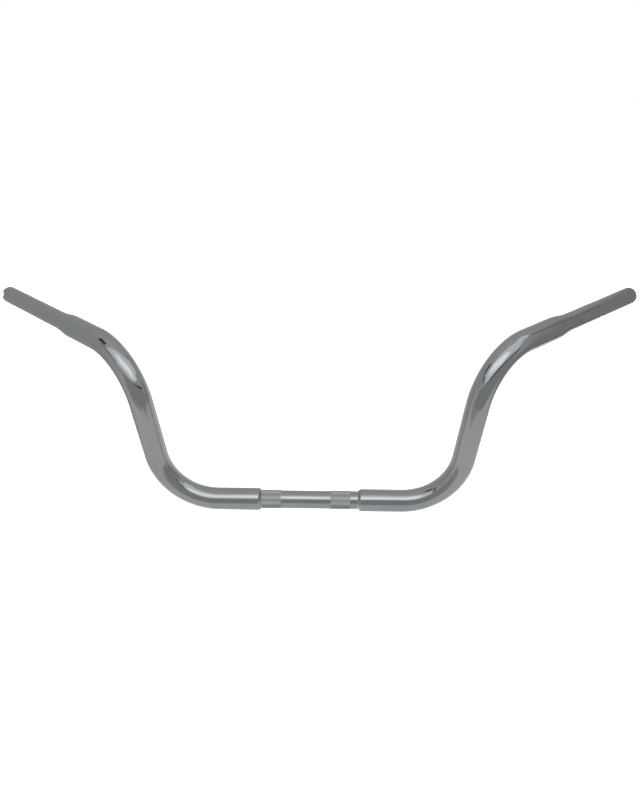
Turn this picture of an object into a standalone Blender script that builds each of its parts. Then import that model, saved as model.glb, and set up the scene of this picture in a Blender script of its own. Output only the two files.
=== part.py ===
"""Motorcycle handlebar: a chromed weldment of five sleeved tubes and four weld beads.

The frame is metres, +Z up.  The origin is the middle of the clamp tube, on its axis.
+X runs along the clamp tube to the clutch side, +Z up the risers, and +Y back to the rider.
"""
from math import cos, radians, sin

import bmesh
import bpy
from mathutils import Matrix, Vector

# Tube stock
RISER_DIAMETER = 0.03175          # 1-1/4 inch side tubes
RISER_BORE = 0.0260
SLEEVE_DIAMETER = 0.0254          # 1 inch clamp tube and grips
SLEEVE_BORE = 0.0198

# The bent path of one side, from the middle of the bar to its end
HALF_BASE = 0.1295                # straight base, middle to the lower bend
BEND_RADIUS = 0.0825
RISER_ANGLE = radians(82.0)       # how far the lower bend turns the tube up
RISER_LENGTH = 0.0805             # straight between the two bends
SWEEP_ANGLE = radians(40.5)       # how far the grips sweep back from the bar's width
GRIP_RISE = radians(2.5)          # how far the grips still climb
UPPER_STRAIGHT = 0.0620           # side tube between the upper bend and its cone
CONE_LENGTH = 0.0245
GRIP_LENGTH = 0.1735              # from the cone's small end to the end of the bar

# Clamp tube
SHOULDER = 0.0700                 # middle of the bar to the end of each side tube
SLEEVE_DEPTH = 0.0350             # how far an inner tube reaches into a side tube
KNURL_DIAMETER = 0.0264
KNURL_WIDTH = 0.0278
KNURL_CENTRES = (-0.0540, 0.0436)
KNURL_RAMP = 0.0006
WIRE_SLOT_WIDTH = 0.0120          # wiring leaves the bar under its middle
WIRE_SLOT_LENGTH = 0.0240

# Ends of the side tubes and their welds
SHOULDER_CHAMFER = 0.0016
CONE_END_DIAMETER = 0.0270
SHOULDER_BEAD = 0.0018            # leg of the fillet at the clamp tube
CONE_BEAD = 0.0010                # leg of the dressed bead at the cone's small end
BEAD_TIP = 0.2                    # thickness left at a bead's thin end, as a share of its leg
GAP = 0.0003                      # clearance kept between neighbouring solids

# Grips
END_CHAMFER = 0.0006
NOTCH_WIDTH = 0.0070              # throttle sensor notches in the end of the bar
NOTCH_DEPTH = 0.0045
NOTCH_TURNS = (radians(15.5), radians(195.5))
WIRE_HOLE_FROM_END = 0.0845       # switch wiring enters the clutch side grip here
WIRE_HOLE_WIDTH = 0.0110
WIRE_HOLE_LENGTH = 0.0170
WIRE_HOLE_TURN = radians(-50.0)   # turns are up from the grip's level front

SIDES = 32                        # facets round a tube
BEND_STEP = radians(7.5)          # turn between two rings of a bend
CUTTER_REACH = 0.0060             # how far a cutter overruns the wall it cuts
WELD_DISTANCE = 0.00001           # vertices closer than this are one

THROTTLE = "throttle_side"
CLUTCH = "clutch_side"
WAY_OUT = {THROTTLE: -1, CLUTCH: 1}   # which way along X each side lies


def clear_scene():
    for old in list(bpy.data.objects):
        bpy.data.objects.remove(old, do_unlink=True)


def metal(name, colour, roughness):
    """A polished or brushed metal finish."""
    material = bpy.data.materials.new(name)
    material.use_nodes = True
    shader = material.node_tree.nodes["Principled BSDF"]
    shader.inputs["Base Color"].default_value = (*colour, 1.0)
    shader.inputs["Metallic"].default_value = 1.0
    shader.inputs["Roughness"].default_value = roughness
    return material


def direction_up():
    """The way the tube points as it leaves the lower bend."""
    return Vector((cos(RISER_ANGLE), 0.0, sin(RISER_ANGLE)))


def direction_out():
    """The way the grip points."""
    level = cos(GRIP_RISE)
    return Vector((level * cos(SWEEP_ANGLE), level * sin(SWEEP_ANGLE), sin(GRIP_RISE)))


class TubeSkin:
    """A tube grown ring by ring: an outer and an inner loop are swept along a path.

    The sweep starts at a point and a direction.  run() adds a straight stretch, whose far end
    may have a new outer or inner radius, and bend() turns both loops about a bend's centre.
    """

    def __init__(self, start, direction, outer, inner):
        self.mesh = bmesh.new()
        self.start = Vector(start)
        self.place = Vector(start)
        self.direction = Vector(direction).normalized()
        self.radii = [outer, inner]
        self.loops = [self.ring(outer), self.ring(inner)]
        self.first = self.loops[0]
        self.first_share = self.share()

    def share(self):
        """The inner radius as a share of the outer one, where the sweep now stands."""
        return self.radii[1] / self.radii[0]

    def ring(self, radius):
        """A closed loop of edges round the axis."""
        turn = self.direction.to_track_quat("Z", "Y").to_matrix().to_4x4()
        made = bmesh.ops.create_circle(
            self.mesh, segments=SIDES, radius=radius, matrix=Matrix.Translation(self.place) @ turn)
        edges = set()
        for vertex in made["verts"]:
            edges.update(vertex.link_edges)
        return list(edges)

    def grow(self, loop):
        """Extrude a loop of edges and return the new loop and its vertices."""
        made = bmesh.ops.extrude_edge_only(self.mesh, edges=loop)["geom"]
        edges = [item for item in made if isinstance(item, bmesh.types.BMEdge)]
        rim = [edge for edge in edges if len(edge.link_faces) == 1]
        return rim, [item for item in made if isinstance(item, bmesh.types.BMVert)]

    def run(self, length, outer=None, inner=None):
        """Carry both loops straight on by length."""
        self.place = self.place + self.direction * length
        for index, radius in enumerate((outer, inner)):
            self.loops[index], vertices = self.grow(self.loops[index])
            factor = 1.0 if radius is None else radius / self.radii[index]
            for vertex in vertices:
                moved = vertex.co + self.direction * length
                vertex.co = self.place + (moved - self.place) * factor
            self.radii[index] *= factor

    def bend(self, new_direction, radius):
        """Carry both loops round an arc that ends along new_direction."""
        target = Vector(new_direction).normalized()
        axis = self.direction.cross(target).normalized()
        centre = self.place + axis.cross(self.direction) * radius
        angle = self.direction.angle(target)
        steps = max(1, round(angle / BEND_STEP))
        turn = Matrix.Rotation(angle / steps, 3, axis)
        for _ in range(steps):
            for index in range(2):
                self.loops[index], vertices = self.grow(self.loops[index])
                for vertex in vertices:
                    vertex.co = centre + turn @ (vertex.co - centre)
            self.place = centre + turn @ (self.place - centre)
            self.direction = turn @ self.direction
        self.direction = target

    def close(self):
        """Close both ends with flat rings and return the finished mesh."""
        ends = ((self.start, self.first, self.first_share), (self.place, self.loops[0], self.share()))
        for middle, rim, share in ends:
            vertices = self.grow(rim)[1]
            for vertex in vertices:
                vertex.co = middle + (vertex.co - middle) * share
        bmesh.ops.remove_doubles(self.mesh, verts=self.mesh.verts, dist=WELD_DISTANCE)
        bmesh.ops.recalc_face_normals(self.mesh, faces=self.mesh.faces)
        return self.mesh


def add_object(name, mesh, material):
    """Turn a bmesh into a named object with its own finish."""
    data = bpy.data.meshes.new(name)
    mesh.to_mesh(data)
    mesh.free()
    data.materials.append(material)
    data.shade_smooth()
    data.set_sharp_from_angle(angle=radians(30.0))
    piece = bpy.data.objects.new(name, data)
    bpy.context.scene.collection.objects.link(piece)
    return piece


def mirror_to(side, piece):
    """Make the mirror image of a piece that was modelled on the +X side."""
    if side > 0:
        return piece
    data = piece.data
    data.transform(Matrix.Scale(-1.0, 4, Vector((1.0, 0.0, 0.0))))
    data.flip_normals()
    return piece


def path_point(length):
    """The point and direction of the bar's axis at a length before its end, on the +X side."""
    along = direction_out()
    return bar_end() - along * length, along


def bend_exit(place, direction, new_direction):
    """Where an arc of the bend radius leaves, when it turns direction into new_direction."""
    axis = direction.cross(new_direction).normalized()
    centre = place + axis.cross(direction) * BEND_RADIUS
    angle = direction.angle(new_direction)
    return centre + Matrix.Rotation(angle, 3, axis) @ (place - centre)


def bar_end():
    """The middle of the open end of the bar, on the +X side."""
    base = Vector((1.0, 0.0, 0.0))
    place = bend_exit(base * HALF_BASE, base, direction_up())
    place = place + direction_up() * RISER_LENGTH
    place = bend_exit(place, direction_up(), direction_out())
    return place + direction_out() * (UPPER_STRAIGHT + CONE_LENGTH + GRIP_LENGTH)


def cutter(name, mesh):
    """A guide body that only cuts other pieces."""
    data = bpy.data.meshes.new(name)
    mesh.to_mesh(data)
    mesh.free()
    tool = bpy.data.objects.new(name, data)
    tool.hide_render = True
    tool.display_type = "WIRE"
    bpy.context.scene.collection.objects.link(tool)
    return tool


def cut(piece, tool):
    change = piece.modifiers.new(tool.name, "BOOLEAN")
    change.operation = "DIFFERENCE"
    change.solver = "EXACT"
    change.object = tool


def axis_frame(place, along, outward):
    """A placement with local Z along the tube and local X pointing out of its wall."""
    side = along.cross(outward).normalized()
    out = side.cross(along).normalized()
    frame = Matrix((out, side, along)).transposed().to_4x4()
    return Matrix.Translation(place) @ frame


def box_cutter(name, placement, size):
    mesh = bmesh.new()
    bmesh.ops.create_cube(mesh, size=1.0)
    bmesh.ops.scale(mesh, vec=size, verts=mesh.verts)
    bmesh.ops.transform(mesh, matrix=placement, verts=mesh.verts)
    return cutter(name, mesh)


def slot_cutter(name, placement, width, length, reach):
    """A round-ended slot: its long way is local Z and it cuts along local X."""
    mesh = bmesh.new()
    half_turn = 8
    straight = (length - width) / 2
    outline = []
    for end in (1, -1):
        for step in range(half_turn + 1):
            angle = radians(180.0) * step / half_turn
            outline.append((cos(angle) * width / 2 * end, (sin(angle) * width / 2 + straight) * end))
    bottom = [mesh.verts.new((0.0, across, along)) for across, along in outline]
    face = mesh.faces.new(bottom)
    grown = bmesh.ops.extrude_face_region(mesh, geom=[face])["geom"]
    moved = [item for item in grown if isinstance(item, bmesh.types.BMVert)]
    bmesh.ops.translate(mesh, verts=moved, vec=(reach, 0.0, 0.0))
    bmesh.ops.recalc_face_normals(mesh, faces=mesh.faces)
    bmesh.ops.transform(mesh, matrix=placement, verts=mesh.verts)
    return cutter(name, mesh)


def make_clamp_tube(finish):
    """The straight 1 inch tube in the middle, with two raised knurled bands."""
    end = SHOULDER + SLEEVE_DEPTH
    tube = TubeSkin((-end, 0.0, 0.0), (1.0, 0.0, 0.0), SLEEVE_DIAMETER / 2, SLEEVE_BORE / 2)
    reached = -end
    for centre in KNURL_CENTRES:
        start = centre - KNURL_WIDTH / 2
        tube.run(start - reached)
        tube.run(KNURL_RAMP, outer=KNURL_DIAMETER / 2)
        tube.run(KNURL_WIDTH - 2 * KNURL_RAMP)
        tube.run(KNURL_RAMP, outer=SLEEVE_DIAMETER / 2)
        reached = centre + KNURL_WIDTH / 2
    tube.run(end - reached)
    piece = add_object("clamp_tube", tube.close(), finish)
    middle = sum(KNURL_CENTRES) / 2
    along = Vector((1.0, 0.0, 0.0))
    below = axis_frame(Vector((middle, 0.0, 0.0)), along, Vector((0.0, 0.0, -1.0)))
    cut(piece, slot_cutter("wire_slot_cutter", below, WIRE_SLOT_WIDTH, WIRE_SLOT_LENGTH,
                           SLEEVE_DIAMETER / 2 + CUTTER_REACH))


def make_riser_tube(name, side, finish):
    """One bent 1-1/4 inch side tube, from its chamfered shoulder to its turned cone."""
    outer = RISER_DIAMETER / 2
    tube = TubeSkin((SHOULDER, 0.0, 0.0), (1.0, 0.0, 0.0), outer - SHOULDER_CHAMFER, RISER_BORE / 2)
    tube.run(SHOULDER_CHAMFER, outer=outer)
    tube.run(HALF_BASE - SHOULDER - SHOULDER_CHAMFER)
    tube.bend(direction_up(), BEND_RADIUS)
    tube.run(RISER_LENGTH)
    tube.bend(direction_out(), BEND_RADIUS)
    tube.run(UPPER_STRAIGHT)
    tube.run(CONE_LENGTH, outer=CONE_END_DIAMETER / 2)
    mirror_to(side, add_object(name, tube.close(), finish))


def make_grip_tube(name, side, finish):
    """One 1 inch grip tube, which reaches through the cone into the side tube."""
    place, along = path_point(GRIP_LENGTH + CONE_LENGTH + SLEEVE_DEPTH)
    outer = SLEEVE_DIAMETER / 2
    tube = TubeSkin(place, along, outer, SLEEVE_BORE / 2)
    tube.run(SLEEVE_DEPTH + CONE_LENGTH + GRIP_LENGTH - END_CHAMFER)
    tube.run(END_CHAMFER, outer=outer - END_CHAMFER)
    return mirror_to(side, add_object(name, tube.close(), finish))


def rim_direction(side, turn):
    """A direction out of the grip's wall, turned up about the grip from its level front."""
    along = direction_out()
    front = along.cross(Vector((0.0, 0.0, 1.0))).normalized()
    outward = Matrix.Rotation(-turn, 3, along) @ front
    return Vector((outward.x * side, outward.y, outward.z))


def mirrored(side, vector):
    return Vector((vector.x * side, vector.y, vector.z))


def cut_sensor_notches(piece, side):
    """Two notches in the rim, across from each other, locate the throttle sensor."""
    place, along = path_point(0.0)
    for number, turn in enumerate(NOTCH_TURNS, start=1):
        outward = rim_direction(side, turn)
        wall = (SLEEVE_DIAMETER + SLEEVE_BORE) / 4
        middle = mirrored(side, place) + outward * wall
        placement = axis_frame(middle, mirrored(side, along), outward)
        size = (2 * CUTTER_REACH, NOTCH_WIDTH, 2 * NOTCH_DEPTH)
        cut(piece, box_cutter(f"sensor_notch_cutter_{number}", placement, size))


def cut_wire_hole(piece, side):
    """A round-ended hole low on the front lets the switch wiring into the grip."""
    place, along = path_point(WIRE_HOLE_FROM_END)
    outward = rim_direction(side, WIRE_HOLE_TURN)
    placement = axis_frame(mirrored(side, place), mirrored(side, along), outward)
    cut(piece, slot_cutter("wire_hole_cutter", placement, WIRE_HOLE_WIDTH, WIRE_HOLE_LENGTH,
                           SLEEVE_DIAMETER / 2 + CUTTER_REACH))


def make_bead(name, side, place, along, leg, finish):
    """A weld bead: a three-cornered ring round an inner tube, thin end outwards."""
    inner = SLEEVE_DIAMETER / 2 + GAP
    bead = TubeSkin(place, along, inner + leg, inner)
    bead.run(leg, outer=inner + leg * BEAD_TIP)
    mirror_to(side, add_object(name, bead.close(), finish))


def main():
    clear_scene()
    chrome = {name: metal(name, (0.55, 0.56, 0.56), 0.08) for name in ("clamp", "riser", "grip")}
    bead_chrome = metal("weld_bead", (0.50, 0.51, 0.51), 0.22)
    make_clamp_tube(chrome["clamp"])
    for word, side in WAY_OUT.items():
        make_riser_tube(f"{word}_riser_tube", side, chrome["riser"])
        grip = make_grip_tube(f"{word}_grip_tube", side, chrome["grip"])
        if word == THROTTLE:
            cut_sensor_notches(grip, side)
        else:
            cut_wire_hole(grip, side)
        shoulder = Vector((SHOULDER - GAP, 0.0, 0.0))
        inwards = Vector((-1.0, 0.0, 0.0))
        make_bead(f"{word}_shoulder_bead", side, shoulder, inwards, SHOULDER_BEAD, bead_chrome)
        cone_end, along = path_point(GRIP_LENGTH - GAP)
        make_bead(f"{word}_cone_bead", side, cone_end, along, CONE_BEAD, bead_chrome)


if __name__ == "__main__":
    main()
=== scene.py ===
"""Motorcycle handlebar: two bent side tubes sleeved over a knurled clamp tube and two grips.

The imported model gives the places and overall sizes, in metres, with +X along the clamp tube to the
clutch side, +Y back to the rider and +Z up.  Each visible piece is one closed surface, worked out
as whole arrays in the tube's own terms: distance along the bar, turn about its axis and radius.
The file is laid out as an add-on and run as a script.
"""

from collections import namedtuple
from math import asin, atan2, cos, pi, radians, sin, tau

import bpy
import numpy as np
from bpy.props import FloatProperty, FloatVectorProperty, IntProperty, PointerProperty
from mathutils import Matrix, Vector


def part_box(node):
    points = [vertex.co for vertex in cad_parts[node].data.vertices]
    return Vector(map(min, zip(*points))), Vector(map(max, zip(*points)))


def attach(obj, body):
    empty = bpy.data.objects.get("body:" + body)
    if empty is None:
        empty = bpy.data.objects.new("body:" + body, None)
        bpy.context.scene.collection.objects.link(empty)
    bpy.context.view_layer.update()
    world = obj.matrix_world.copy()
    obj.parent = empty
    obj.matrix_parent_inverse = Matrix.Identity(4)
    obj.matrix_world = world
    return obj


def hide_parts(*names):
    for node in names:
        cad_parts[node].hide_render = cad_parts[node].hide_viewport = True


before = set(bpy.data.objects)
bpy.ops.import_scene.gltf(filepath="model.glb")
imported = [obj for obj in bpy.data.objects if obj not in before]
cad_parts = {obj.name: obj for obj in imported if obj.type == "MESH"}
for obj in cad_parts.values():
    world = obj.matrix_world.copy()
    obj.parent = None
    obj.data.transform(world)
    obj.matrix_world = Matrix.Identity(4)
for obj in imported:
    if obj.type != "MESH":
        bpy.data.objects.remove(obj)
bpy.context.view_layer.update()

bl_info = {
    "name": "Motorcycle handlebar",
    "version": (1, 0, 0),
    "blender": (4, 5, 0),
    "location": "View3D > Sidebar > Handlebar",
    "description": "Builds a chromed motorcycle handlebar with a knurled clamp tube",
    "category": "Add Mesh",
}

BODY = "root"
THROTTLE = "throttle_side"
CLUTCH = "clutch_side"
WAY_OUT = {THROTTLE: -1, CLUTCH: 1}

CLAMP_LOW, CLAMP_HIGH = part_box("clamp_tube")
SIDE_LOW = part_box(f"{CLUTCH}_riser_tube")[0]
BEAD_LOW, BEAD_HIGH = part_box(f"{CLUTCH}_shoulder_bead")

UNROLLED = "UVMap"
KNURL_LAYER = "knurl_height"
BORE_LAYER = "bore_share"
PLATED_DEPTH, BARE_DEPTH = 0.002, 0.026   # how far into an open end the plating is whole, and ends
BORE_REACH = 0.0004                       # a point this close to the bore counts as inside it
BORE_CLEARANCE = 0.0001                   # a point this close to the bore is on it
WINDOW_MARGIN = radians(11.0)             # left round a hole for the rings of its collar
SEAM_SPREAD = radians(3.6)
SHARP_CORNER = radians(38.0)


# ---- sizes and colours

def metres(name, description, default):
    return FloatProperty(name=name, description=description, default=default, unit="LENGTH")


def degrees(name, description, default):
    return FloatProperty(name=name, description=description, default=radians(default), subtype="ANGLE")


def portion(name, description, default):
    return FloatProperty(name=name, description=description, default=default, min=0.0, max=0.2)


def rgb(name, description, default):
    return FloatVectorProperty(
        name=name, description=description, default=default, subtype="COLOR", size=3)


class TubeSizes(bpy.types.PropertyGroup):
    """The tube stock and the bent path of one side of the bar."""
    side_diameter: metres("Side tube diameter", "Outside diameter of the bent side tubes", 0.03175)
    side_bore: metres("Side tube bore", "Inside diameter of the bent side tubes", 0.0260)
    sleeve_diameter: metres("Grip diameter", "Outside diameter of the clamp tube and the grips", 0.0254)
    sleeve_bore: metres("Grip bore", "Inside diameter of the clamp tube and the grips", 0.0198)
    half_base: metres("Half base", "Straight base, from the middle to the lower bend", 0.1295)
    bend_radius: metres("Bend radius", "Radius of both bends at the tube's axis", 0.0825)
    riser_angle: degrees("Riser angle", "How far the lower bend turns the tube up", 82.0)
    riser_length: metres("Riser length", "Straight stretch between the two bends", 0.0805)
    sweep_angle: degrees("Sweep", "How far the grips sweep back from the bar's width", 40.5)
    grip_rise: degrees("Grip rise", "How far the grips still climb", 2.5)
    upper_straight: metres("Upper straight", "Side tube between the upper bend and its neck", 0.0620)
    neck_length: metres("Neck length", "Where the side tube is drawn down to the grip", 0.0245)
    grip_length: metres("Grip length", "From the neck to the end of the bar", 0.1735)
    shoulder: metres("Shoulder", "From the middle of the bar to the end of each side tube", SIDE_LOW.x)
    clamp_reach: metres(
        "Clamp tube reach", "From the middle of the bar to the clamp tube's end", CLAMP_HIGH.x)


class DetailSizes(bpy.types.PropertyGroup):
    """Knurl, welds, notches, holes and the bends' flattening."""
    knurl_diameter: metres("Knurl diameter", "Across the points of the knurl", CLAMP_HIGH.z - CLAMP_LOW.z)
    knurl_width: metres("Knurl width", "Length of each knurled band along the tube", 0.0278)
    throttle_knurl: metres("Throttle side knurl", "Middle of the band on the throttle side", -0.0540)
    clutch_knurl: metres("Clutch side knurl", "Middle of the band on the clutch side", 0.0436)
    knurl_ramp: metres("Knurl run-out", "Length over which the grooves fade at a band's ends", 0.0006)
    knurl_round: IntProperty(
        name="Grooves round", description="Knurl grooves of one hand round the tube",
        default=50, min=8)
    knurl_along: IntProperty(
        name="Diamonds along", description="Knurl diamonds along one band",
        default=10, min=2)
    shoulder_chamfer: metres("Shoulder chamfer", "Chamfer on the inner end of each side tube", 0.0016)
    neck_end_diameter: metres("Neck end diameter", "Across the small end of the side tube's neck", 0.0270)
    shoulder_bead: metres("Shoulder weld", "Leg of the weld at the clamp tube", BEAD_HIGH.x - BEAD_LOW.x)
    neck_bead: metres("Neck weld", "Leg of the dressed weld at the grip", 0.0010)
    gap: metres("Fit", "Clearance between a sleeve and the tube round it", 0.0003)
    edge_round: metres("Edge rounding", "Rounding left by the polishing on every edge", 0.0005)
    end_round: metres("Bar end rounding", "Rounding of the rim at each end of the bar", 0.0014)
    notch_width: metres("Notch width", "Width of the notches in the throttle side's end", 0.0070)
    notch_depth: metres("Notch depth", "Depth of the notches in the throttle side's end", 0.0045)
    notch_turn: degrees("Notch turn", "First notch, up from the grip's level front", 15.5)
    hole_from_end: metres("Wire hole place", "From the bar's end to the middle of the wire hole", 0.0845)
    hole_width: metres("Wire hole width", "Across the grip", 0.0110)
    hole_length: metres("Wire hole length", "Along the grip", 0.0170)
    hole_turn: degrees("Wire hole turn", "Up from the grip's level front", -50.0)
    slot_width: metres("Wire slot width", "Across the clamp tube, on its underside", 0.0120)
    slot_length: metres("Wire slot length", "Along the clamp tube, on its underside", 0.0240)
    lower_flat: portion("Lower bend flattening", "Share of the tube's depth lost in the lower bend", 0.040)
    upper_flat: portion("Upper bend flattening", "Share of the tube's depth lost in the upper bend", 0.005)
    seam_height: metres("Tube seam", "Height of the rolled tube's weld seam inside the bore", 0.00025)


class FinishColours(bpy.types.PropertyGroup):
    """Colours and gloss of the plating and of the bare bore."""
    chrome: rgb("Chrome", "What the plating reflects straight on", (0.592, 0.604, 0.606))
    chrome_haze: rgb("Chrome haze", "The plating where it is slightly hazed", (0.553, 0.567, 0.571))
    steel: rgb("Bore steel", "Bare steel inside the tubes", (0.215, 0.205, 0.195))
    rust: rgb("Bore stain", "Brown stain on the bare steel", (0.115, 0.075, 0.050))
    gloss: FloatProperty(
        name="Chrome roughness", description="Roughness of the best polished chrome",
        default=0.045, min=0.0, max=1.0)


class StageSizes(bpy.types.PropertyGroup):
    """The camera, floor and light."""
    eye: FloatVectorProperty(
        name="Eye", description="Where the camera stands", subtype="TRANSLATION", size=3,
        default=(0.0459, -0.7611, 0.5243))
    bearing: degrees("Bearing", "How far the camera looks round to the throttle side", 2.25)
    tilt: degrees("Tilt", "How far the camera looks down", 25.74)
    roll: degrees("Roll", "How far the camera leans clockwise", 0.55)
    lens: FloatProperty(
        name="Lens", description="Focal length in millimetres", default=28.96, subtype="NONE")
    floor_drop: metres("Floor drop", "From the clamp tube down to the floor", 0.42)
    floor_size: metres("Floor size", "Half of the floor's width", 9.0)
    floor_colour: rgb("Floor", "The pale floor", (0.90, 0.90, 0.90))
    light: FloatProperty(
        name="Overhead light", description="Strength of the soft light over the floor",
        default=5.0, min=0.0)


# ---- curves and outlines

def ease(low, high, value):
    """0 up to low, 1 from high on, and 3t^2 - 2t^3 between them, where t is the share covered."""
    share = np.clip((value - low) / (high - low), 0.0, 1.0)
    return share * share * (3.0 - 2.0 * share)


def ease_through(stations, heights, value):
    """A smooth line through the given heights: the ease curve between each pair of stations."""
    total = np.full(np.shape(value), heights[0], float)
    for low, high, before, after in zip(stations, stations[1:], heights, heights[1:]):
        total += (after - before) * ease(low, high, value)
    return total


def saw_peak(phase):
    """A triangle wave: 0 at whole phases and 1 halfway between them."""
    return 1.0 - np.abs(2.0 * (phase % 1.0) - 1.0)


def turned(vector, axis, angle):
    """Vectors turned about a unit axis: v cos a + (k x v) sin a + k (k . v)(1 - cos a)."""
    angle = angle[..., None]
    lengthwise = axis * (axis @ vector) * (1 - np.cos(angle))
    return vector * np.cos(angle) + np.cross(axis, vector) * np.sin(angle) + lengthwise


def unit(vector):
    return vector / np.linalg.norm(vector)


Stretch = namedtuple("Stretch", "begin place along across axis radius")


class BentPath:
    """The axis of one half of the bar: base, lower bend, riser, upper bend, straight to the end.

    It carries two directions across the tube, which turn with it and never twist.  The throttle
    side is the clutch side's mirror image.
    """

    def __init__(self, sizes, side=1):
        rise = np.array((cos(sizes.riser_angle), 0.0, sin(sizes.riser_angle)))
        level = cos(sizes.grip_rise)
        out = np.array((level * cos(sizes.sweep_angle), level * sin(sizes.sweep_angle),
                        sin(sizes.grip_rise)))
        self.side = side
        self.stretches = []
        self.length = 0.0
        self.place = np.zeros(3)
        self.along = np.array((1.0, 0.0, 0.0))
        self.across = np.array((0.0, 0.0, 1.0))
        self.go_straight(sizes.half_base)
        self.lower_bend = (self.length, self.go_round(rise, sizes.bend_radius))
        self.go_straight(sizes.riser_length)
        self.upper_bend = (self.length, self.go_round(out, sizes.bend_radius))
        self.go_straight(sizes.upper_straight + sizes.neck_length + sizes.grip_length)

    def go_straight(self, length):
        self.stretches.append(Stretch(self.length, self.place, self.along, self.across, None, 0.0))
        self.place = self.place + self.along * length
        self.length += length

    def go_round(self, target, radius):
        """Adds an arc that ends along target, and returns the distance at its end."""
        axis = unit(np.cross(self.along, target))
        angle = np.arccos(self.along @ target)
        self.stretches.append(Stretch(self.length, self.place, self.along, self.across, axis, radius))
        inward = np.cross(axis, self.along)
        self.place = self.place + radius * (sin(angle) * self.along + (1 - cos(angle)) * inward)
        self.across = turned(self.across, axis, np.array(angle))
        self.along = target
        self.length += radius * angle
        return self.length

    def at(self, distance):
        """Place, way along and the two ways across, at distances from the middle of the bar.

        On a straight the place is start + l along.  On an arc of radius R turned by a = l / R it is
        start + R (sin a along + (1 - cos a) inward), and the directions turn by a about its axis.
        """
        place, along, across = (np.empty(distance.shape + (3,)) for _ in range(3))
        for number, stretch in enumerate(self.stretches):
            here = distance >= (stretch.begin if number else -np.inf)
            travel = (distance[here] - stretch.begin)[..., None]
            if stretch.axis is None:
                place[here] = stretch.place + travel * stretch.along
                along[here] = stretch.along
                across[here] = stretch.across
            else:
                angle = travel[..., 0] / stretch.radius
                inward = np.cross(stretch.axis, stretch.along)
                sine, cosine = np.sin(angle)[..., None], np.cos(angle)[..., None]
                arc = sine * stretch.along + (1 - cosine) * inward
                place[here] = stretch.place + stretch.radius * arc
                along[here] = turned(stretch.along, stretch.axis, angle)
                across[here] = turned(stretch.across, stretch.axis, angle)
        for vectors in (place, along, across):
            vectors[..., 0] *= self.side
        return place, along, across, np.cross(along, across)

    def turn_of(self, distance, direction):
        """The turn about the axis, at one distance, that faces a direction."""
        across, sideways = (vectors[0] for vectors in self.at(np.array([distance]))[2:])
        return atan2(direction @ sideways, direction @ across)

    def bend_turn(self, bend):
        """The turn that faces the inside of a bend."""
        middle = np.mean(bend)
        before, after = self.at(np.array([middle - 0.001, middle + 0.001]))[1]
        return self.turn_of(middle, after - before)

    def front_turn(self, raised):
        """The turn on a grip that is raised from its level front, which faces the bike."""
        along = self.at(np.array([self.length]))[1][0]
        front = unit(np.cross(along, (0.0, 0.0, 1.0))) * self.side
        above = np.cross(front, along) * self.side
        return self.turn_of(self.length, front * cos(raised) + above * sin(raised))


def tube_points(path, distance, turn, radius, flats=()):
    """centre(distance) + radius (cos(turn) across + sin(turn) sideways).

    Each flat is a turn, which faces the inside of a bend, and the share of its depth that the tube
    loses that way at each distance.
    """
    place, _, across, sideways = path.at(distance)
    one, other = np.cos(turn), np.sin(turn)
    for facing, share in flats:
        inward = share * (one * cos(facing) + other * sin(facing))
        one = one - inward * cos(facing)
        other = other - inward * sin(facing)
    return place + radius[..., None] * (one[..., None] * across + other[..., None] * sideways)


def rounded(corners, roundings, steps=5):
    """A closed outline whose corners are rounded.

    Each corner becomes the parabola (1-t)^2 a + 2t(1-t) corner + t^2 b, where a and b lie one
    rounding back along its two sides.
    """
    pieces = []
    share = np.linspace(0.0, 1.0, steps)[:, None]
    for number, (corner, size) in enumerate(zip(corners, roundings)):
        if size == 0:
            pieces.append(corner[None])
            continue
        before = corner + unit(corners[number - 1] - corner) * size
        after = corner + unit(corners[(number + 1) % len(corners)] - corner) * size
        pieces.append((1 - share) ** 2 * before + 2 * share * (1 - share) * corner + share ** 2 * after)
    return np.concatenate(pieces)


def divided(outline, stations):
    """The outline with a point added at each station that its long sides pass."""
    pieces = []
    for start, end in zip(outline, np.roll(outline, -1, axis=0)):
        low, high = sorted((start[0], end[0]))
        passed = stations[(stations > low + 1e-5) & (stations < high - 1e-5)]
        if end[0] < start[0]:
            passed = passed[::-1]
        pieces.append(start[None])
        if len(passed):
            share = ((passed - start[0]) / (end[0] - start[0]))[:, None]
            pieces.append(start + share * (end - start))
    return np.concatenate(pieces)


def joined(outside, bored, middle):
    """Out along the outside of one outline, then back along the bore of the other."""
    bore = bored[bored[:, 1] < middle]
    back = bore[np.argsort(-bore[:, 0], kind="stable")]
    return np.concatenate((outside[outside[:, 1] >= middle], back))


def in_order(stations):
    """The stations by distance, each once."""
    return np.unique(np.round(stations, 7))


def spaced(start, end, step):
    """Evenly spaced stations from start to end, about one step apart."""
    return np.linspace(start, end, max(2, round((end - start) / step) + 1))


# ---- surfaces

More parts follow.
